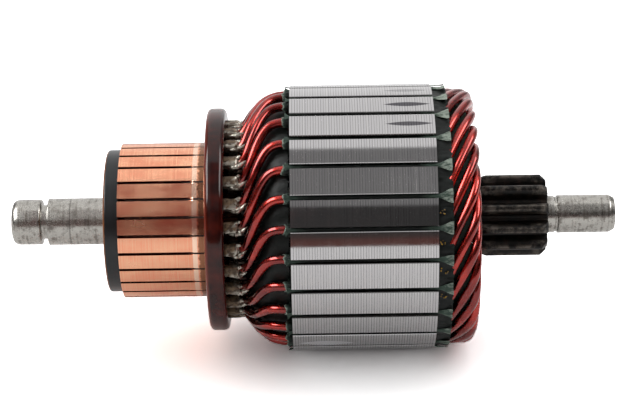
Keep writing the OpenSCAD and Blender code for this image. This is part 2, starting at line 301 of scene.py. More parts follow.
def laminationSteel():
    # turned edges of punched steel sheets: pale grey metal, each sheet a hair off its neighbours in tone, with long rub
    # marks on a few lands and one painted highlight patch (centre, turn, half length, half width in mm, strength)
    values = {"steel": "c4c2c2", "dull": "bbb9ba", "mark": "5e5c60", "paintedSheen": "f2f2f4",
              "marks": [(69.7, -2.2, 4.9, 0.9, 0.45), (69.7, 11.3, 5.0, 0.85, 1.0), (69.9, 24.1, 5.1, 0.66, 0.95)],
              "paintedSheens": [(52.5, 133.0, 6.1, 1.3, 0.9)]}
    material, tree, shader = newMaterial("punched_steel_sheets", Metallic=1.0)
    place, x, turn = objectAxes(tree)
    sheets = turnedLines(tree, x, 0.54)
    base = blendColours(tree, ramp(tree, sheets, 0.3, 0.7), linear(values["dull"]), linear(values["steel"]))
    # the dark rub marks are wear; the bright patch is a painted highlight
    for colour, spots in ((values["mark"], values["marks"]), (values["paintedSheen"], values["paintedSheens"])):
        for centre, degrees, halfLength, halfWidth, strength in spots:
            dx = calc(tree, "MULTIPLY", calc(tree, "SUBTRACT", x, centre * mm), 1 / (halfLength * mm))
            dt = calc(tree, "MULTIPLY", calc(tree, "SUBTRACT", turn, math.radians(degrees)), coreR / halfWidth)
            far = calc(tree, "ADD", calc(tree, "ABSOLUTE", dt), calc(tree, "MULTIPLY", dx, dx))
            base = blendColours(tree, ramp(tree, far, 0.75, 1.05, strength, 0.0), base, linear(colour))
    tree.links.new(base, shader.inputs["Base Color"])
    tree.links.new(ramp(tree, noise(tree, place, 3.0), 0.3, 0.7, 0.06, 0.1), shader.inputs["Roughness"])
    return material


def turnedCopper():
    # turned commutator copper: salmon metal with lathe lines, one bright turned band, varnish stained next to the ring,
    # brown oxide in the sawn slots, and near black from the hooks on, which is dark flux on the hooks and painted shade
    # in the gaps between them
    values = {"copper": "fcbc98", "worn": "f0a080", "bright": "ffd8be", "stain": "6e4a34", "oxide": "6a3020",
              "flux": "30241a"}
    material, tree, shader = newMaterial("turned_commutator_copper", Metallic=1.0)
    place, x, turn = objectAxes(tree)
    split = addNode(tree, "SeparateXYZ", {0: place})
    square = calc(tree, "ADD", calc(tree, "MULTIPLY", split.outputs[1], split.outputs[1]),
                  calc(tree, "MULTIPLY", split.outputs[2], split.outputs[2]))
    radius = calc(tree, "SQRT", square)
    lines = turnedLines(tree, x, 0.3)
    cloud = noise(tree, place, 4.0, stretch=(2, 1, 1))
    mixed = calc(tree, "ADD", calc(tree, "MULTIPLY", lines, 0.35), calc(tree, "MULTIPLY", cloud, 0.65))
    base = blendColours(tree, ramp(tree, mixed, 0.35, 0.62), linear(values["worn"]), linear(values["copper"]))
    band = calc(tree, "MULTIPLY", ramp(tree, x, 25.0 * mm, 25.15 * mm), ramp(tree, x, 25.9 * mm, 26.2 * mm, 1.0, 0.0))
    base = blendColours(tree, band, base, linear(values["bright"]))
    edge = calc(tree, "ADD", x, calc(tree, "MULTIPLY", noise(tree, place, 0.9, detail=4.0), 1.3 * mm))
    stained = calc(tree, "MULTIPLY", ramp(tree, edge, 26.75 * mm, 27.25 * mm), 0.85)
    base = blendColours(tree, stained, base, linear(values["stain"]))
    base = blendColours(tree, ramp(tree, radius, 16.2 * mm, 16.4 * mm, 1.0, 0.0), base, linear(values["oxide"]))
    # near black from x 31.6 on: dark flux on the hooks and painted shade in the gaps between them
    base = blendColours(tree, ramp(tree, x, 31.6 * mm, 31.9 * mm), base, linear(values["flux"]))
    tree.links.new(base, shader.inputs["Base Color"])
    tree.links.new(ramp(tree, cloud, 0.3, 0.7, 0.17, 0.28), shader.inputs["Roughness"])
    bumped(tree, shader, lines, 0.006, 0.7)
    return material


def groundSteel():
    # ground bearing steel: grey metal with faint rings, speckled scuffs and one thin worn line near the clip groove
    values = {"steel": "b4b1ab", "scuffed": "7c7771", "line": "5a5550", "lineAt": -1.6}
    material, tree, shader = newMaterial("ground_shaft_steel", Metallic=1.0)
    place, x, turn = objectAxes(tree)
    rings = turnedLines(tree, x, 0.7)
    scuffs = noise(tree, place, 1.5, detail=6.0, rough=0.75)
    amount = ramp(tree, calc(tree, "ADD", calc(tree, "MULTIPLY", rings, 0.35), scuffs), 0.5, 0.72)
    base = blendColours(tree, amount, linear(values["scuffed"]), linear(values["steel"]))
    off = calc(tree, "ABSOLUTE", calc(tree, "SUBTRACT", x, values["lineAt"] * mm))
    base = blendColours(tree, ramp(tree, off, 0.08 * mm, 0.22 * mm, 0.6, 0.0), base, linear(values["line"]))
    tree.links.new(base, shader.inputs["Base Color"])
    tree.links.new(ramp(tree, scuffs, 0.3, 0.7, 0.34, 0.2), shader.inputs["Roughness"])
    bumped(tree, shader, scuffs, 0.015, 0.6)
    return material


def blackenedSteel():
    # heat-blackened, oily gear steel, rubbed brown and grey along its edges
    values = {"black": "0e0c0b", "brown": "2c211a", "bright": "6e675f"}
    material, tree, shader = newMaterial("blackened_gear_steel", Metallic=0.35, Specular_IOR_Level=0.35)
    place, x, turn = objectAxes(tree)
    edge = addNode(tree, "Attribute", attribute_name="edge").outputs["Fac"]
    patches = noise(tree, place, 2.2, detail=5.0, rough=0.7)
    worn = calc(tree, "MULTIPLY", edge, ramp(tree, patches, 0.4, 0.62))
    base = blendColours(tree, ramp(tree, patches, 0.42, 0.7), linear(values["black"]), linear(values["brown"]))
    base = blendColours(tree, worn, base, linear(values["bright"]))
    tree.links.new(base, shader.inputs["Base Color"])
    tree.links.new(ramp(tree, patches, 0.3, 0.7, 0.3, 0.5), shader.inputs["Roughness"])
    bumped(tree, shader, patches, 0.05, 0.8)
    return material


def varnishedMoulding():
    # dark red-brown phenolic moulding under varnish: near black, glossy, redder on the face towards the bars
    values = {"dark": "2e0d0a", "red": "5e1c12", "face": "9a3218"}
    material, tree, shader = newMaterial("varnished_phenolic", Roughness=0.12, IOR=1.42)
    place, x, turn = objectAxes(tree)
    runs = noise(tree, place, 5.0, detail=2.0)
    base = blendColours(tree, ramp(tree, runs, 0.35, 0.75), linear(values["dark"]), linear(values["red"]))
    front = ramp(tree, x, (ringA + 0.05) * mm, (ringA + 0.9) * mm, 0.8, 0.0)
    base = blendColours(tree, front, base, linear(values["face"]))
    tree.links.new(base, shader.inputs["Base Color"])
    bumped(tree, shader, runs, 0.08, 0.4)
    return material


def blackMoulding():
    # glass-filled black moulding of the hub, satin slate black, with a thin brown burnt rim
    values = {"black": "14171a", "brown": "a8622c"}
    material, tree, shader = newMaterial("moulded_hub_resin", Roughness=0.32)
    place, x, turn = objectAxes(tree)
    grain = noise(tree, place, 0.7, detail=5.0)
    wavy = calc(tree, "ADD", x, calc(tree, "MULTIPLY", grain, 0.25 * mm))
    rim = ramp(tree, wavy, 6.8 * mm, 7.1 * mm, 0.9, 0.0)
    base = blendColours(tree, rim, linear(values["black"]), linear(values["brown"]))
    tree.links.new(base, shader.inputs["Base Color"])
    bumped(tree, shader, grain, 0.02, 0.6)
    return material


def micaSheet():
    # pressed mica, brown and dull, dusted with copper
    values = {"dark": "1c120d", "dust": "5d3a28"}
    material, tree, shader = newMaterial("pressed_mica", Roughness=0.75)
    place, x, turn = objectAxes(tree)
    grain = noise(tree, place, 0.6, detail=4.0)
    tree.links.new(blendColours(tree, ramp(tree, grain, 0.45, 0.75), linear(values["dark"]), linear(values["dust"])),
                   shader.inputs["Base Color"])
    bumped(tree, shader, grain, 0.03)
    return material


def slotPaper():
    # green insulating paper, nearly black where varnish soaked in and where it stands as painted shade, pale and
    # fibrous at its torn ends, and paler on the upper drive-end tongues as painted light
    values = {"soakedAndShaded": "0b100e", "green": "42544a", "pale": "b4bfb2"}
    material, tree, shader = newMaterial("varnished_slot_paper", Specular_IOR_Level=0.25)
    place, x, turn = objectAxes(tree)
    pale = addNode(tree, "Attribute", attribute_name="pale").outputs["Fac"]
    fibre = noise(tree, place, 0.5, detail=5.0, rough=0.65, stretch=(2, 1, 1))
    amount = calc(tree, "MULTIPLY", pale, ramp(tree, fibre, 0.3, 0.7, 0.65, 1.25), clamp=True)
    base = blendColours(tree, ramp(tree, amount, 0.0, 0.5), linear(values["soakedAndShaded"]), linear(values["green"]))
    base = blendColours(tree, ramp(tree, amount, 0.45, 1.0), base, linear(values["pale"]))
    tree.links.new(base, shader.inputs["Base Color"])
    tree.links.new(ramp(tree, amount, 0.0, 1.0, 0.42, 0.7), shader.inputs["Roughness"])
    bumped(tree, shader, fibre, 0.08)
    return material


def softSolder():
    # tin solder, grey and wavy, with brown flux in its hollows; brown baked flux where there is little tin
    values = {"tin": "b8b4a8", "flux": "7d684f", "dark": "4c3c2c"}
    material, tree, shader = newMaterial("soft_solder")
    place, x, turn = objectAxes(tree)
    tinned = addNode(tree, "Attribute", attribute_name="tinned").outputs["Fac"]
    lumps = noise(tree, place, 0.8, detail=4.0)
    soil = blendColours(tree, ramp(tree, lumps, 0.38, 0.6), linear(values["dark"]), linear(values["flux"]))
    amount = calc(tree, "MULTIPLY", tinned, ramp(tree, lumps, 0.34, 0.5), clamp=True)
    tree.links.new(blendColours(tree, amount, soil, linear(values["tin"])), shader.inputs["Base Color"])
    tree.links.new(ramp(tree, amount, 0.0, 1.0, 0.55, 0.3), shader.inputs["Roughness"])
    tree.links.new(ramp(tree, amount, 0.0, 1.0, 0.2, 0.9), shader.inputs["Metallic"])
    bumped(tree, shader, lumps, 0.09, 0.7)
    return material


def amberResin():
    # drops of impregnating resin, golden and clear
    material, tree, shader = newMaterial("amber_resin", Roughness=0.12, Coat_Weight=0.6, Coat_Roughness=0.05)
    place, x, turn = objectAxes(tree)
    tone = noise(tree, place, 0.8)
    tree.links.new(blendColours(tree, ramp(tree, tone, 0.35, 0.65), linear("4a3408"), linear("b98d1c")),
                   shader.inputs["Base Color"])
    return material


enamel, sheetSteel, copper = enamelledCopper(), laminationSteel(), turnedCopper()
shaftSteel, gearSteel, ringVarnish = groundSteel(), blackenedSteel(), varnishedMoulding()
hubResin, mica, paper = blackMoulding(), micaSheet(), slotPaper()
solder, resin = softSolder(), amberResin()
print("materials made")

# core

coreLook = {"sheets": 55, "groove": 0.06, "grooveWidth": 0.05, "slot": 2.6, "opening": 0.9, "floor": 22.7,
            "roof": 27.65,
            "corner": 0.12, "bore": 6.52, "wander": 0.002, "arcPoints": 7}


def coreOutline(look):
    # one tooth from slot to slot, as radius and turn: land with eased corners, then the slot's opening, roof and walls
    half, mouth = look["slot"] / 2, look["opening"] / 2
    start = math.asin((mouth + look["corner"]) / coreR)
    land = np.linspace(start, pitch - start, look["arcPoints"])
    low = math.sqrt((coreR - look["corner"]) ** 2 - mouth ** 2)
    inside = np.array([(-mouth, low), (-mouth, look["roof"]), (-half, look["roof"]), (-half, 25.2), (-half, look["floor"]),
                       (half, look["floor"]), (half, 25.2), (half, look["roof"]), (mouth, look["roof"])])
    turn = np.concatenate([[math.atan2(mouth, low)], land, pitch + np.arctan2(inside[:, 0], inside[:, 1])])
    radius = np.concatenate([[math.hypot(mouth, low)], land * 0 + coreR, np.hypot(inside[:, 0], inside[:, 1])])
    slot = np.arange(slotCount)[:, None]
    return np.tile(radius, slotCount), (turn + slot * pitch + firstSlot).ravel(), np.repeat(slot, len(turn), 1).ravel()


def buildCore(look):
    # the outline carried along the shaft, with a fine groove between each two sheets and each land a hair off its
    # neighbours
    radius, turn, tooth = coreOutline(look)
    edges = np.linspace(coreA, coreB, look["sheets"] + 1)
    g = look["grooveWidth"]
    rows = np.stack([edges[:-1] + g, edges[1:] - g, edges[1:]], -1)
    rows[0, 0], rows[-1, 1] = coreA, coreB
    rows = rows.ravel()[:-1]
    deep = (np.arange(len(rows)) % 3 == 2) * look["groove"]
    offset = -np.abs(seeded.normal(0, look["wander"], (look["sheets"], slotCount))).clip(0, 0.01)
    sheet = np.arange(len(rows)) // 3
    onLand = radius > coreR - look["corner"] - 0.02
    r = radius[None] + np.where(onLand, offset[sheet][:, tooth] - deep[:, None], 0)
    outer = aroundShaft(rows[:, None], r, turn[None])
    boreTurn = np.linspace(0, 2 * math.pi, 72, endpoint=False)
    bore = aroundShaft(np.array([[coreA], [coreB]]), look["bore"], boreTurn[None])
    points, faces = joined([(outer, gridFaces(*outer.shape[:2])), (bore, gridFaces(2, 72))])
    piece = makePiece("core_sheets", points, faces, sheetSteel, ["lamination_stack"], sharp=25)
    work = bmesh.new()
    work.from_mesh(piece.data)
    for end in (coreA, coreB):
        rim = [e for e in work.edges if e.is_boundary and abs(e.verts[0].co.x / mm - end) < 0.01]
        bmesh.ops.triangle_fill(work, use_beauty=True, use_dissolve=False, edges=rim)
    bmesh.ops.recalc_face_normals(work, faces=work.faces)
    work.to_mesh(piece.data)
    work.free()
    piece.data.shade_smooth()
    piece.data.set_sharp_from_angle(angle=math.radians(25))
    return piece


buildCore(coreLook)
print("core of", coreLook["sheets"], "sheets")

# winding

wireLook = {"diameter": 1.9, "outer": 26.35, "inner": 24.0, "outerEnd": 19.45, "innerEnd": 17.5,
            "wireEnd": riserB - 1.8,
            "fold": turnsB - 0.95, "foldIn": turnsB - 3.1, "innerLeg": 7, "outerShift": 2, "lastHook": 11,
            "steps": 8, "sides": 14, "wander": 0.035}


def coilKnots(w):
    # distance along the shaft, radius, and slots turned, from the first hook to the last one
    o, i, oe, ie = w["outer"], w["inner"], w["outerEnd"], w["innerEnd"]
    s, leg, last, fold, foldIn = w["outerShift"], w["innerLeg"], w["lastHook"], w["fold"], w["foldIn"]
    return np.array([
        (w["wireEnd"], oe, -s), (riserB - 0.4, oe, -s), (riserB + 0.8, oe + 0.1, 0.03 - s),
        (riserB + 1.75, oe + 1.3, 0.22 - s), (riserB + 2.7, oe + 2.8, 0.64 - s), (riserB + 3.7, o - 2.95, -0.92),
        (riserB + 4.8, o - 1.85, -0.48), (coreA - 4.6, o - 0.75, -0.1), (coreA - 2.8, o - 0.15, 0), (coreA - 0.9, o, 0),
        (coreA + 1, o, 0), (coreA + 5, o, 0), (coreB - 5, o, 0), (coreB - 0.8, o, 0), (coreB + 0.6, o, 0),
        (coreB + 1.8, o, 0.15), (coreB + 3.2, o, 0.68), (coreB + 4.8, o, 1.22), (fold - 1.9, o, 1.7),
        (fold - 0.3, o - 0.25, 2.29), (fold, o - 2.15, 2.86), (fold, o - 4.15, 3.33), (fold - 0.3, o - 5.85, 3.62),
        (foldIn + 0.23, i - 3.59, 3.9), (foldIn - 0.06, i - 2.34, 4.16), (foldIn, i - 0.4, 4.82),
        (foldIn - 0.9, i, 5.12), (coreB + 3.4, i, leg - 1.08), (coreB + 2.03, i - 0.08, leg - 0.44),
        (coreB + 1.14, i, leg - 0.06), (coreB + 0.7, i, leg), (coreB - 2, i, leg), (coreB - 5, i, leg),
        (coreA + 5, i, leg), (coreA + 2, i, leg), (coreA + 0.8, i, leg), (coreA - 0.6, i, leg),
        (coreA - 1.36, i - 0.15, leg + 0.11), (coreA - 2.29, i - 0.85, leg + 0.45), (coreA - 2.9, i - 2.1, leg + 1.15),
        (coreA - 4, i - 3.5, leg + 1.85), (coreA - 5.2, i - 4.8, leg + 2.6), (coreA - 6.6, ie + 0.5, last - 0.6),
        (coreA - 7.8, ie, last - 0.1), (riserB + 1.5, ie, last), (riserB - 0.2, ie, last), (w["wireEnd"], ie, last)])


def buildCoil(number, w):
    # a round wire carried along the spline of its knots, each coil a little off the others away from slots and hooks
    knots = coilKnots(w)
    rng = np.random.default_rng(number)
    drift = rng.normal(0, w["wander"], knots.shape).clip(-0.06, 0.06)
    drift[:, 2] /= 6
    drift[[0, 1, 2, -1, -2, -3]] = 0
    drift[8:15] = 0
    drift[29:38] = 0
    path = splinePath(knots + drift, w["steps"])
    angle = firstSlot + (number - 1 - path[:, 2]) * pitch
    centre = aroundShaft(path[:, 0], path[:, 1], angle)
    guide = np.stack([0 * angle, -np.cos(angle), -np.sin(angle)], -1)
    skin = tube(centre, w["diameter"] / 2, w["sides"], guide)
    rows, cols = skin.shape[:2]
    bare = np.repeat(1 - np.clip((path[:, 0] - riserB - 0.5) / 0.9, 0, 1), cols)
    # painted shade: the inner layer's half of the wire near the commutator end is marked to go near black
    atFront = np.clip((coreA + 1 - path[:, 0]) / 2, 0, 1)
    innerHalf = np.arange(rows) > rows * 0.55
    innerShade = np.repeat(0.9 * atFront * innerHalf, cols)
    return makePiece("wire_%02d" % number, skin, gridFaces(rows, cols) + endCaps(rows, cols), enamel,
                     ["coil_%02d" % number], sharp=60, marks={"bare": bare, "innerShade": innerShade})


for number in range(1, slotCount + 1):
    buildCoil(number, wireLook)
meanPath = splinePath(coilKnots(wireLook), wireLook["steps"])
print("27 coils wound")

# slot papers and the paper between the layers

paperLook = {"thickness": 0.16, "halfWidth": 1.22, "low": 22.78, "high": 27.45, "left": 0.45, "right": 2.3,
             "ragged": 0.25,
             "columns": 40}


def ripples(angle, counts, size, fading=0, shift=0):
    # a sum of sine waves round an angle, each with a chance height and start, the faster ones lower where they fade
    return sum(seeded.normal(0, size) / k ** fading * np.sin(k * angle + seeded.uniform(0, 6.3) + shift) for k in counts)


def paperBand(name, x, outer, inner, tone):
    # a band of paper all round the shaft: out along its outer face, back along its inner one
    turn = np.linspace(0, 2 * math.pi, np.shape(outer)[1], endpoint=False)
    skin = np.concatenate([aroundShaft(x, outer, turn), aroundShaft(x, inner, turn)[::-1]])
    tone = np.broadcast_to(tone, outer.shape)
    return makePiece(name, skin, gridFaces(*skin.shape[:2], loopRows=True), paper, sharp=60,
                     marks={"pale": np.concatenate([tone, tone[::-1]])})


def wireShift(x, radius):
    # how far the wire beside this point has turned out of its slot, in radians, from the outer or the inner leg
    half = len(meanPath) // 2
    out, back = meanPath[: half - 8], meanPath[half + 8:][::-1]
    outer = np.interp(x, *out[(out[:, 0] > coreA - 3) & (out[:, 0] < coreB + 5) & (out[:, 1] > 24)][:, [0, 2]].T)
    inner = np.interp(x, *back[(back[:, 0] > coreA - 3) & (back[:, 0] < coreB + 5) & (back[:, 2] > 5)][:, [0, 2]].T) - 7
    share = 1 / (1 + np.exp(-(radius - 25.2) * 6))
    return -(outer * share + inner * (1 - share)) * pitch


def buildPapers(look):
    # a folded paper tube in each slot, running out at both ends as a ragged cuff round the wires; the sheet goes out
    # along its outer face and back along its inner one, so that it closes on itself
    shapes, pale = [], []
    phi = np.linspace(0, 2 * math.pi, look["columns"], endpoint=False)
    boxy = 0.28
    u0, v0 = np.sign(np.cos(phi)) * np.abs(np.cos(phi)) ** boxy, np.sign(np.sin(phi)) * np.abs(np.sin(phi)) ** boxy
    middle, halfHeight = (look["low"] + look["high"]) / 2, (look["high"] - look["low"]) / 2
    left, right = np.linspace(-1, 0, 6), np.linspace(0, 1, 9)
    for number in range(slotCount):
        wave = ripples(phi, range(1, 9), 1, fading=1)
        waveRight = ripples(phi, range(1, 9), 1, fading=1)
        lengthLeft = look["left"] + look["ragged"] * 0.6 * wave
        lengthRight = look["right"] + look["ragged"] * waveRight - 0.5 * (v0 < 0)
        x = np.concatenate([coreA + left[:, None] * lengthLeft, coreB + right[:, None] * lengthRight])
        beyond = np.concatenate([left * -1.0, right])[:, None]
        atRight = np.concatenate([left * 0, right])[:, None]
        flare = 1 + 0.05 * beyond ** 2 + 0.12 * atRight ** 2
        sheet = []
        for inset in (0, look["thickness"]):
            u = (look["halfWidth"] - inset) * u0 * flare
            v = middle + (halfHeight - inset) * v0 - 0.15 * (v0 > 0) * atRight ** 2
            turn = firstSlot + number * pitch + u / v + wireShift(x, v)
            sheet.append(aroundShaft(x, v, turn))
        skin = np.concatenate([sheet[0], sheet[1][::-1]])
        rows, cols = skin.shape[:2]
        shapes.append((skin, gridFaces(rows, cols, loopRows=True)))
        tone = 0.04 + 0.14 * beyond + 0.2 * (beyond > 0.97) * atRight + 0 * phi
        pale.append(np.concatenate([tone, tone[::-1]]).ravel())
    points, faces = joined(shapes)
    return makePiece("slot_papers", points, faces, paper, ["slot_liners"], sharp=50,
                     marks={"pale": np.concatenate(pale)})


sleeveLook = {"inside": 0.98, "outside": 1.15, "from": -1.4, "to": 0.1, "lumps": 0.09, "columns": 18}


def buildSleeves(look):
    # the paper drawn together round each outer wire where it leaves the core: a lumpy sleeve with a pale torn rim, its
    # section of outside, rim and inside carried round the wire's axis
    shapes, pale = [], []
    phi = np.linspace(0, 2 * math.pi, look["columns"], endpoint=False)
    along = np.array([0.0, 0.35, 0.65, 0.85, 0.97, 1.0, 0.97, 0.5])[:, None]
    thick = np.array([1.0, 1.0, 0.85, 0.6, 0.45, 0.25, 0.0, 0.0])[:, None]
    for number in range(slotCount):
        lumps = ripples(phi, (2, 3, 5), 1, fading=1, shift=along * 3)
        ragged = ripples(phi, (1, 2, 3, 5), 0.12)
        reach = coreA + look["to"] + (look["from"] - look["to"] + ragged) * along
        rho = look["inside"] + (look["outside"] - look["inside"] + look["lumps"] * lumps) * thick
        radius = wireLook["outer"] + rho * np.sin(phi)
        turn = firstSlot + number * pitch + rho * np.cos(phi) / wireLook["outer"]
        skin = aroundShaft(reach + 0 * phi, radius, turn)
        shapes.append((skin, gridFaces(*skin.shape[:2], loopRows=True)))
        pale.append((np.interp(along, (0, 0.6, 0.9, 1), (0.03, 0.1, 0.8, 1.0)) + 0 * phi).ravel())
    points, faces = joined(shapes)
    return makePiece("wire_sleeves", points, faces, paper, sharp=60, marks={"pale": np.concatenate(pale)})


tongueLook = {"thickness": 0.14, "width": 0.85, "flared": 2.6, "crown": 0.3, "radius": 28.0, "right": 3.0, "left": 0.95,
              "startRight": 15.2, "startLeft": 14.4, "paleFrom": 4.0,
              "columns": 13}


def buildTongues(look):
    # the paper's folded closing strip, narrow in the slot's opening and fanned out beyond the core like a fish's tail,
    # its corners lifted: an arched strip of two faces whose edges meet
    shapes, pale = [], []
    across = np.linspace(-1, 1, look["columns"])
    for number in range(slotCount):
        for side in (1, -1):
            beyond, start = (look["right"], look["startRight"]) if side > 0 else (look["left"], look["startLeft"])
            t = np.concatenate([[-start, -start + 0.5, -start / 2], np.linspace(-look["paleFrom"], 0, 5)[:-1],
                                np.linspace(0, beyond, 11)])[:, None]
            out = np.clip(t / beyond, 0, 1)
            ragged = ripples(2.2 * across, range(1, 7), 0.1, fading=1)
            reach = (coreB if side > 0 else coreA) + side * (t + out * ragged * (1 if side > 0 else 0.7))
            fan = look["flared"] * seeded.uniform(0.85, 1.15) if side > 0 else 1.7 * seeded.uniform(0.85, 1.2)
            taper = np.clip((t + start) / 0.5, 0.5, 1)
            width = (look["width"] * taper + (fan - look["width"]) * out ** 2 * (3 - 2 * out)) / 2
            tilt = seeded.normal(0, 0.12) * out ** 2
            crumple = (0.03 if side > 0 else 0.045) * out
            rough = ripples(3 * across + 3 * out, range(1, 6), 1)
            sunk = 0.25 * np.clip(-t / look["paleFrom"], 0, 1)
            arch = look["crown"] * (1 - 0.5 * out) * across ** 2
            lifted = 0.22 * out ** 2 * np.abs(across) ** 3
            radius = look["radius"] - sunk + 0.1 * out - arch + lifted + rough * crumple
            turn = firstSlot + number * pitch + (across * width + tilt) / 28
            thin = look["thickness"] * (1 - 0.85 * np.abs(across) ** 6)
            upper, lower = aroundShaft(reach, radius, turn), aroundShaft(reach, radius - thin, turn)
            loop = np.concatenate([upper, lower[:, ::-1]], 1)
            rows, cols = loop.shape[:2]
            shapes.append((loop, gridFaces(rows, cols) + endCaps(rows, cols)))
            # painted light: the drive-end tongues are paler the nearer they lie to the top of the core, as if lit from
            # above
            light = 0.5 + 0.4 * max(0.0, math.cos(firstSlot + number * pitch))
            rise = np.clip((t + look["paleFrom"]) / (look["paleFrom"] + beyond), 0, 1)
            base, gain, rim = (0.06, light, 0.25) if side > 0 else (0.05, 0.35, 0.15)
            tone = np.clip(base + gain * rise + rim * out * np.abs(across), 0, 1)
            pale.append(np.concatenate([tone, tone[:, ::-1]], 1).ravel())
    points, faces = joined(shapes)
    return makePiece("slot_tongues", points, faces, paper, sharp=50, marks={"pale": np.concatenate(pale)})


collarLook = {"radius": 27.5, "fall": 0.05, "long": 3.05, "thickness": 0.16, "wave": 0.2, "columns": 432}


def buildEndCollar(look):
    # the slot papers' flared ends pressed together into one dark crumpled collar at the drive end: a band that bulges
    # over each outer wire and dips between them, going out along its outer face and back along its inner one
    turn = np.linspace(0, 2 * math.pi, look["columns"], endpoint=False)
    edge = ripples(turn, (27, 41, 54, 81, 108, 135), 0.05)
    folds = ripples(turn, (23, 46, 61, 83, 119, 151), 0.5)
    t = np.linspace(0, 1, 12)[:, None]
    x = coreB + 0.02 + t * (look["long"] + edge)
    bulge = 0.16 * np.cos((turn - firstSlot) * slotCount + 1.2 * t)
    crumple = look["wave"] * folds * (0.4 + 0.6 * t) * np.sin(3.1 * t + turn * 9)
    radius = look["radius"] - look["fall"] * t ** 2 + bulge + crumple
    return paperBand("end_collar", x, radius, radius - look["thickness"], 0.06 * np.clip(folds, 0, 1) + 0.1 * t ** 8)


layerLook = {"radius": 25.17, "thickness": 0.14, "from": 1.3, "to": 6.9, "columns": 216,
             "front": [(-9.3, 18.6), (-8.3, 19.6), (-7.2, 21.0), (-6.2, 22.2), (-5.0, 23.4), (-3.6, 24.4),
                       (-2.2, 24.95), (-0.4, 25.15)]}


def buildLayerPaper(look):
    # a band of paper between the two layers of end turns, wavy at its far edge
    turn = np.linspace(0, 2 * math.pi, look["columns"], endpoint=False)
    edge = ripples(turn, (5, 9, 14, 27, 41, 54), 0.12)
    t = np.linspace(0, 1, 8)[:, None]
    x = coreB + look["from"] + t * (look["to"] - look["from"] + edge)
    middle, half = look["radius"] + 0 * x, look["thickness"] / 2
    return paperBand("layer_paper", x, middle + half, middle - half, 0.18 + 0.25 * t ** 4)


def buildLayerCone(look):
    # varnished paper between the two layers at the commutator end: a cone under the outer wires, creased along them,
    # nearly black as varnish and painted shade between the wires
    turn = np.linspace(0, 2 * math.pi, look["columns"], endpoint=False)
    way = np.array(look["front"])
    x, radius = coreA + way[:, :1], way[:, 1:]
    crease = ripples(turn, (11, 27, 38, 54), 0.06, shift=x * 0.8)
    return paperBand("layer_cone", x, radius + crease, radius + crease - look["thickness"],
                     0.1 * np.clip(crease * 6, 0, 1))


beadLook = {"turns": [64, 77, 89, 102], "each": 6, "radius": 27.75, "size": 0.2}


def buildResin(look):
    # small drops of resin caught on the paper collar beside the core, a few below each of some slots
    shapes = []
    alongX, aroundU, upR = superBox(7, 10)
    for degrees in look["turns"]:
        for k in range(look["each"]):
            size = look["size"] * seeded.uniform(0.5, 1.0)
            x = coreB + seeded.uniform(0.3, 1.9) + size * alongX
            across = seeded.normal(0, 0.35) + size * aroundU
            radius = look["radius"] + size * upR
            skin = aroundShaft(x, radius, math.radians(degrees) + across / look["radius"])
            shapes.append((skin, gridFaces(*skin.shape[:2])))
    points, faces = joined(shapes)
    return makePiece("resin_drops", points, faces, resin, sharp=60)


buildPapers(paperLook)
buildSleeves(sleeveLook)
buildTongues(tongueLook)
buildEndCollar(collarLook)
buildLayerPaper(layerLook)
buildLayerCone(layerLook)
buildResin(beadLook)
print("slot and layer papers")

# commutator end

solderLook = {"columns": 12, "crust": (33.15, 20.2, 1.5, 1.16, 1.0), "boxy": 0.34, "lumps": 0.07}


def buildHookCrust(look):
    # brown baked flux and tin over each hook: a lumpy rounded box, tinned along its lower side and open end
    middle, height, halfX, halfU, halfR = look["crust"]
    shapes, tinned = [], []
    alongX, aroundU, upR = superBox(11, 24, look["boxy"])
    for number in range(slotCount):
        phase = seeded.uniform(0, 6.3, 6)
        lump = sum(np.sin(k * 2.1 * alongX + phase[k] + 1.7 * k * aroundU + 2.3 * upR) for k in range(1, 4)) / 2
        grow = 1 + look["lumps"] * lump
        x = middle + halfX * alongX * grow
        r = height + halfR * upR * (1 + 0.5 * look["lumps"] * lump)
        turn = firstSlot + number * pitch + halfU * aroundU * grow / r
        skin = aroundShaft(x, r, turn)
        shapes.append((skin, gridFaces(*skin.shape[:2])))
        low = np.clip((aroundU - 0.45 + 0.3 * lump) * 4, 0, 1)
        far = np.clip((alongX - 0.7 + 0.3 * lump) * 4, 0, 1)
        tinned.append(np.clip(low + far, 0, 1).ravel())
    points, faces = joined(shapes)
    return makePiece("hook_crust", points, faces, solder, sharp=60, marks={"tinned": np.concatenate(tinned)})


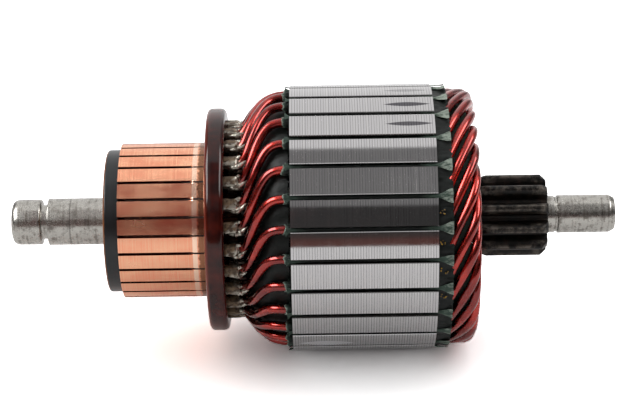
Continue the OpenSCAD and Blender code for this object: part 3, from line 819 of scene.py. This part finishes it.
def buildSolder(look):
    # for each hook, a claw of solder open towards the core: a lower horn that lies along the hook's lower side
    # and draws out along the wire, a shorter upper horn, and a fill round the two wire ends; all are closed tubes
    # of changing size
    shapes = []
    rows, cols = 17, look["columns"]
    bend = np.linspace(0, 1, rows)
    horns = {
        "lower": ((0, 0.3, 0.55, 0.8, 1), (32.2, 33.7, 34.7, 35.6, 36.6), (1.0, 1.25, 1.2, 0.75, -0.3),
                  (20.1, 20.3, 20.35, 20.4, 20.8), (0.1, 0.5, 0.62, 0.5, 0.06)),
        "upper": ((0, 0.3, 0.6, 0.85, 1), (33.9, 34.4, 34.8, 35.1, 35.3), (-0.5, -0.85, -1.05, -1.15, -1.2),
                  (20.3, 20.5, 20.6, 20.8, 21.0), (0.12, 0.4, 0.42, 0.3, 0.06))}
    for number in range(slotCount):
        hook = firstSlot + number * pitch
        for at, xs, offs, rs, sizes in horns.values():
            push = seeded.uniform(0.8, 1.2)
            x = np.interp(bend, at, xs) + (push - 1) * bend + seeded.normal(0, 0.05, rows)
            off = np.interp(bend, at, offs) + seeded.normal(0, 0.06, rows)
            r = np.interp(bend, at, rs) + seeded.normal(0, 0.04, rows)
            size = np.interp(bend, at, sizes) * push * (1 + seeded.normal(0, 0.1, rows))
            angle = hook + off / r
            guide = np.stack([0 * angle, -np.cos(angle), -np.sin(angle)], -1)
            skin = tube(aroundShaft(x, r, angle), size, cols, guide)
            shapes.append((skin, gridFaces(rows, cols) + endCaps(rows, cols)))
        level = np.linspace(16.45, 20.5, 9)
        phi = np.linspace(0, 2 * math.pi, 16, endpoint=False)
        wide = (0.92 + 0.1 * np.sin(np.linspace(0, 9, 9) + number))[:, None]
        long = (1.05 + 0.15 * np.cos(np.linspace(0, 7, 9) + number * 2))[:, None]
        u = wide * np.sign(np.cos(phi)) * np.abs(np.cos(phi)) ** 0.5
        along = 33.6 + long * np.sign(np.sin(phi)) * np.abs(np.sin(phi)) ** 0.5
        fill = aroundShaft(along, level[:, None], hook + u / level[:, None])
        shapes.append((fill, gridFaces(9, 16) + endCaps(9, 16)))
    points, faces = joined(shapes)
    return makePiece("hook_solder", points, faces, solder, sharp=60, marks={"tinned": np.ones(len(points))})


ringLook = {"rounding": 1.3, "bore": 16.55, "swell": 0.03, "sides": 240}


def buildRing(look):
    # the ring's rounded section carried round the shaft, its surface swelling a little where varnish ran
    inner, r = look["bore"], look["rounding"]
    profile = roundedProfile([
        (ringB - 0.05, inner, 0), (ringA, inner, 0.1), (ringA, inner + 2.0, 0.1), (ringA, inner + 4.5, 0.1),
        (ringA, ringR, r), (ringB, ringR, r), (ringB, inner + 4.5, 0.1), (ringB, inner + 2.0, 0.1),
        (ringB, inner, 0.1), (ringB - 0.05, inner, 0)], 9)[:-1]

    def swell(x, radius, turn):
        runs = sum(a * np.sin(k * turn + p) for a, k, p in ((0.4, 7, 1.0), (0.35, 13, 4.0), (0.25, 22, 2.0)))
        return x, radius + np.where(radius > inner + 3, -look["swell"] * (0.6 + 0.6 * runs).clip(0, 1), 0)

    skin = turned(profile, look["sides"], swell)
    return makePiece("varnished_ring", skin, gridFaces(*skin.shape[:2], loopRows=True), ringVarnish,
                     ["riser_ring"], sharp=50)


buildHookCrust(solderLook)
buildSolder(solderLook)
buildRing(ringLook)
print("solder and ring")

# shaft and pinion

shaftLook = {"head": (6.35, 4.85, 1.7), "groove": (1.35, 3.65), "journal": (13.0, 5.0), "pilot": (12.1, 4.05),
             "neck": 2.6,
             "pinionLength": 14.2, "root": 5.37, "seat": 6.5, "sides": 144}
pinionB = pilotEnd - shaftLook["pilot"][0] - shaftLook["neck"]
pinionA = pinionB - shaftLook["pinionLength"]


def buildShaft(look):
    # the turned shaft: its profile of steps, roundings and grooves carried once round
    headLong, headR, headRound = look["head"]
    grooveWide, grooveR = look["groove"]
    longJournal, journalR = look["journal"]
    pilotLong, pilotR = look["pilot"]
    seat, root, neckR = look["seat"], look["root"], pilotR - 0.12
    a = headEnd + headLong
    b = a + grooveWide
    c = b + longJournal
    p = pilotEnd - pilotLong
    profile = roundedProfile([
        (headEnd, 0, 0), (headEnd, headR, headRound), (a, headR, 0.75), (a, grooveR, 0.12), (b, grooveR, 0.12),
        (b, journalR, 0.25), (b + longJournal / 2, journalR, 0), (c, journalR, 0.05), (c, 5.5, 0.05), (35.7, 5.5, 0.1),
        (36.7, seat, 0.1), (coreB, seat, 0.1), (coreB, seat + 1, 0.2), (coreB + 3, seat + 1, 0.3), (coreB + 4.5,
                                                                                                    root, 0.2),
        (pinionB - 1, root, 0), (pinionB - 0.9, neckR, 0), (p - 0.75, neckR, 0.05), (p - 0.5, pilotR - 0.3, 0.05),
        (p - 0.2, pilotR - 0.3, 0.05), (p, pilotR, 0.05), (pilotEnd - 1.1, pilotR, 0.15), (pilotEnd, pilotR - 0.6, 0.1),
        (pilotEnd, 0, 0)], 7)[1:-1]
    skin = turned(profile, look["sides"])
    return makePiece("turned_shaft", skin, gridFaces(*skin.shape[:2]) + endCaps(*skin.shape[:2]), shaftSteel,
                     ["shaft"], sharp=30)


gearLook = {"teeth": 11, "module": 1.35, "tip": 8.75, "turn": 23.7, "rounding": 0.22}


def buildPinion(look):
    # involute teeth carried along the shaft; the radius is held inside the turned blank with its chamfered ends
    count, module, tip = look["teeth"], look["module"], look["tip"]
    pitchR = count * module / 2
    baseR, rootR = pitchR * math.cos(math.radians(20)), pitchR - 1.15 * module

    def halfTooth(r):
        # half the tooth's angle at radius r, from the involute of the base circle
        grow = np.arccos(np.clip(baseR / r, 0, 1))
        full = math.radians(20)
        return (math.pi / 2 + 2 * 0.1 * math.tan(full)) / count + (math.tan(full) - full) - (np.tan(grow) - grow)

    r = np.concatenate([[rootR, rootR + 0.25], np.linspace(baseR, tip - look["rounding"], 6), [tip - 0.07, tip]])
    half = np.concatenate([[halfTooth(baseR) + 0.11, halfTooth(baseR) + 0.035], halfTooth(r[2:8]),
                           [halfTooth(tip) - 0.05 * look["rounding"] / tip * 4,
                            halfTooth(tip) - look["rounding"] / tip]])
    edge = np.array([0, 0, 0, 0, 0, 0, 0.1, 0.7, 1, 0.6])
    side = math.pi / count
    turn = np.concatenate([[-side], -half, [0], half[::-1]])
    radius = np.concatenate([[rootR], r, [tip], r[::-1]])
    edge = np.concatenate([[0], edge, [0.25], edge[::-1]])
    k = np.arange(count)[:, None]
    turn = (math.radians(look["turn"]) + turn + k * 2 * side).ravel()
    radius, edge = np.tile(radius, count), np.tile(edge, count)
    long = pinionB - pinionA
    x = np.array([0, 0.12, 0.5, 1.0, 1.5, 1.9, 4, 7, 10, long - 1.6, long - 1.2, long - 0.8, long - 0.4, long - 0.1, long])
    blank = np.interp(x, (0, 1.5, long - 1.2, long), (tip - 0.6, tip, tip, tip - 1.15))
    ends = np.interp(x, (0, 0.5, 1.9, 2.6, long - 2.4, long - 1.6, long - 0.4, long),
                     (0.9, 0.7, 0.6, 0, 0, 0.7, 0.7, 0.9))
    held = np.minimum(radius[None], blank[:, None])
    wear = np.maximum(edge[None], ends[:, None] * (radius[None] > tip - 1.3))
    skin = aroundShaft(pinionA + x[:, None], held, turn[None])
    return makePiece("sun_pinion", skin, gridFaces(*skin.shape[:2]) + endCaps(*skin.shape[:2]), gearSteel,
                     ["shaft"], sharp=40, marks={"edge": wear})


buildShaft(shaftLook)
buildPinion(gearLook)
print("shaft and pinion")

for name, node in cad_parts.items():
    metal = copper if name.startswith("commutator_bar") else None
    finish = {"commutator_hub": hubResin, "mica_segments": mica}.get(name, metal)
    if finish:
        node.data.materials.clear()
        node.data.materials.append(finish)

# floor, light and camera


def directionAngle(tree):
    # the ray's angle round the shaft's direction: 0 at the front horizon, 90 degrees overhead, 180 at the back
    ray = addNode(tree, "TexCoord").outputs["Generated"]
    split = addNode(tree, "SeparateXYZ", {0: ray})
    front = calc(tree, "MULTIPLY", split.outputs[1], -1.0)
    return calc(tree, "ARCTAN2", split.outputs[2], front)


lightLook = {"front": (0.055, 0.055, 0.055), "frontLeft": (0.3, 0.105, 0.11), "frontFar": (0.17, 0.155, 0.145),
             "middle": (0.26, 0.26, 0.26), "middleLeft": (0.31, 0.175, 0.18), "middleFar": (0.52, 0.52, 0.52),
             "left": (-0.06, -0.03), "far": (-0.12, -0.1), "frontTo": 33.5, "middleTo": 85, "soft": 1.5,
             "warm": (0.16, 0.075, 0.065), "warmFrom": 3, "warmTo": 10, "side": 0.3, "box": 8.0,
             "fillFront": 0.22, "fillMiddle": 0.5, "fillBack": 1.0, "floorSeen": 2.9, "floorShiny": 1.25, "floor": 0.8}


def bands(tree, angle, look, soft):
    # how far the angle is past the front band and past the middle band, with soft steps
    one, two = math.radians(look["frontTo"]), math.radians(look["middleTo"])
    return ramp(tree, angle, one - soft, one + soft), ramp(tree, angle, two - soft, two + soft)


def bandColour(tree, side, look, name):
    # a band's colour: one ahead, one to the left and one to the far left
    grey, left, far = ((*look[name + end], 1) for end in ("", "Left", "Far"))
    near = blendColours(tree, ramp(tree, side, *look["left"], 1.0, 0.0), grey, left)
    return blendColours(tree, ramp(tree, side, *look["far"], 1.0, 0.0), near, far)


def softBox(tree, angle, side, fromAngle, toAngle, fromSide, toSide, strength):
    # a bright soft-edged patch between two angles round the shaft's direction and two sideways slopes
    across = calc(tree, "MULTIPLY", ramp(tree, angle, math.radians(fromAngle), math.radians(fromAngle + 12)),
                  ramp(tree, angle, math.radians(toAngle - 12), math.radians(toAngle), 1.0, 0.0))
    along = calc(tree, "MULTIPLY", ramp(tree, side, fromSide, fromSide + 0.08),
                 ramp(tree, side, toSide - 0.08, toSide, 1.0, 0.0))
    return calc(tree, "MULTIPLY", calc(tree, "MULTIPLY", across, along), strength)


def buildWorld(look):
    # a white studio: the camera sees white, shiny surfaces see a dark side in front with a warm band over the
    # horizon, a grey band, a white back wall and two soft boxes to the left and right, and plain surfaces see the
    # same levels softly
    world = bpy.data.worlds.new("studio")
    bpy.context.scene.world = world
    world.use_nodes = True
    world.cycles.sampling_method = "NONE"
    tree = world.node_tree
    out = tree.nodes["World Output"]
    angle = directionAngle(tree)
    side = addNode(tree, "SeparateXYZ", {0: addNode(tree, "TexCoord").outputs["Generated"]}).outputs[0]
    pastFront, pastMiddle = bands(tree, angle, look, math.radians(look["soft"]))
    level = blendColours(tree, pastFront, bandColour(tree, side, look, "front"), bandColour(tree, side, look, "middle"))
    level = blendColours(tree, pastMiddle, level, (1, 1, 1, 1))
    dim = ramp(tree, calc(tree, "ABSOLUTE", side), 0.28, 0.55, 1.0, look["side"])
    level = blendColours(tree, 1.0, level, dim, "MULTIPLY")
    boxes = calc(tree, "ADD", softBox(tree, angle, side, 40, 115, -0.85, -0.4, look["box"]),
                 softBox(tree, angle, side, 50, 120, 0.4, 0.8, look["box"] * 0.7))
    level = blendColours(tree, 1.0, level, boxes, "ADD")
    nearHorizon = ramp(tree, angle, math.radians(look["warmFrom"]), math.radians(look["warmTo"]), 1.0, 0.0)
    tint = blendColours(tree, nearHorizon, level, (*look["warm"], 1))
    fillFront, fillMiddle = bands(tree, angle, look, math.radians(20))
    plainLevel = calc(tree, "ADD", calc(tree, "MULTIPLY", fillFront, look["fillMiddle"] - look["fillFront"]),
                      look["fillFront"])
    plainLevel = calc(tree, "ADD", calc(tree, "MULTIPLY", fillMiddle, look["fillBack"] - look["fillMiddle"]),
                      plainLevel)
    path = addNode(tree, "LightPath")
    plain = addNode(tree, "Background", {"Color": (1, 1, 1, 1), "Strength": plainLevel})
    shiny = addNode(tree, "Background", {"Color": tint, "Strength": 1.0})
    seen = addNode(tree, "Background", {"Color": (1, 1, 1, 1), "Strength": 1.0})
    first = addNode(tree, "MixShader", {0: path.outputs["Is Glossy Ray"], 1: plain.outputs[0], 2: shiny.outputs[0]})
    clear = calc(tree, "MAXIMUM", path.outputs["Is Camera Ray"], path.outputs["Is Transmission Ray"])
    second = addNode(tree, "MixShader", {0: clear, 1: first.outputs[0], 2: seen.outputs[0]})
    tree.links.new(second.outputs[0], out.inputs[0])


def buildFloor(look):
    # a pale floor through the underside of the core, whiter where it is looked at, keeping the shadow
    low = cadBox[0][2]
    mesh = bpy.data.meshes.new("floor")
    s = 3.0
    mesh.from_pydata([(-s, -s, low), (s, -s, low), (s, s, low), (-s, s, low)], [], [(0, 1, 2, 3)])
    material, tree, shader = newMaterial("white_floor", Roughness=1.0)
    shader.inputs["Specular IOR Level"].default_value = 0.0
    path = addNode(tree, "LightPath")
    seen, shiny, plain = ([look[key]] * 3 + [1] for key in ("floorSeen", "floorShiny", "floor"))
    clear = calc(tree, "MAXIMUM", path.outputs["Is Camera Ray"], path.outputs["Is Transmission Ray"])
    tone = blendColours(tree, path.outputs["Is Glossy Ray"], plain, shiny)
    tree.links.new(blendColours(tree, clear, tone, seen), shader.inputs["Base Color"])
    mesh.materials.append(material)
    floor = bpy.data.objects.new("floor", mesh)
    bpy.context.scene.collection.objects.link(floor)


cameraLook = {"lens": 108.6, "distance": 407.7, "elevation": 24.0, "roll": 0.9, "aim": (50.46, 0, 0), "lift": 1.65}


def buildCamera(look):
    # a long lens in front of the core, looking down, rolled a little so that the shaft rises to the right
    e, roll = math.radians(look["elevation"]), math.radians(look["roll"])
    back = np.array([0, -math.cos(e), math.sin(e)])
    upright, across = np.array([0, math.sin(e), math.cos(e)]), np.array([1.0, 0, 0])
    right = math.cos(roll) * across - math.sin(roll) * upright
    up = math.sin(roll) * across + math.cos(roll) * upright
    place = (np.array(look["aim"]) + look["lift"] * up + look["distance"] * back) * mm
    camera = bpy.data.cameras.new("camera")
    camera.lens = look["lens"]
    camera.sensor_width = 36.0
    camera.clip_start = 0.01
    cameraObject = bpy.data.objects.new("camera", camera)
    bpy.context.scene.collection.objects.link(cameraObject)
    turn = Matrix([[right[i], up[i], back[i], place[i]] for i in range(3)] + [[0, 0, 0, 1]])
    cameraObject.matrix_world = turn
    bpy.context.scene.camera = cameraObject


buildWorld(lightLook)
buildFloor(lightLook)
buildCamera(cameraLook)
bpy.context.scene.view_settings.view_transform = "Standard"
print("stage, light and camera")
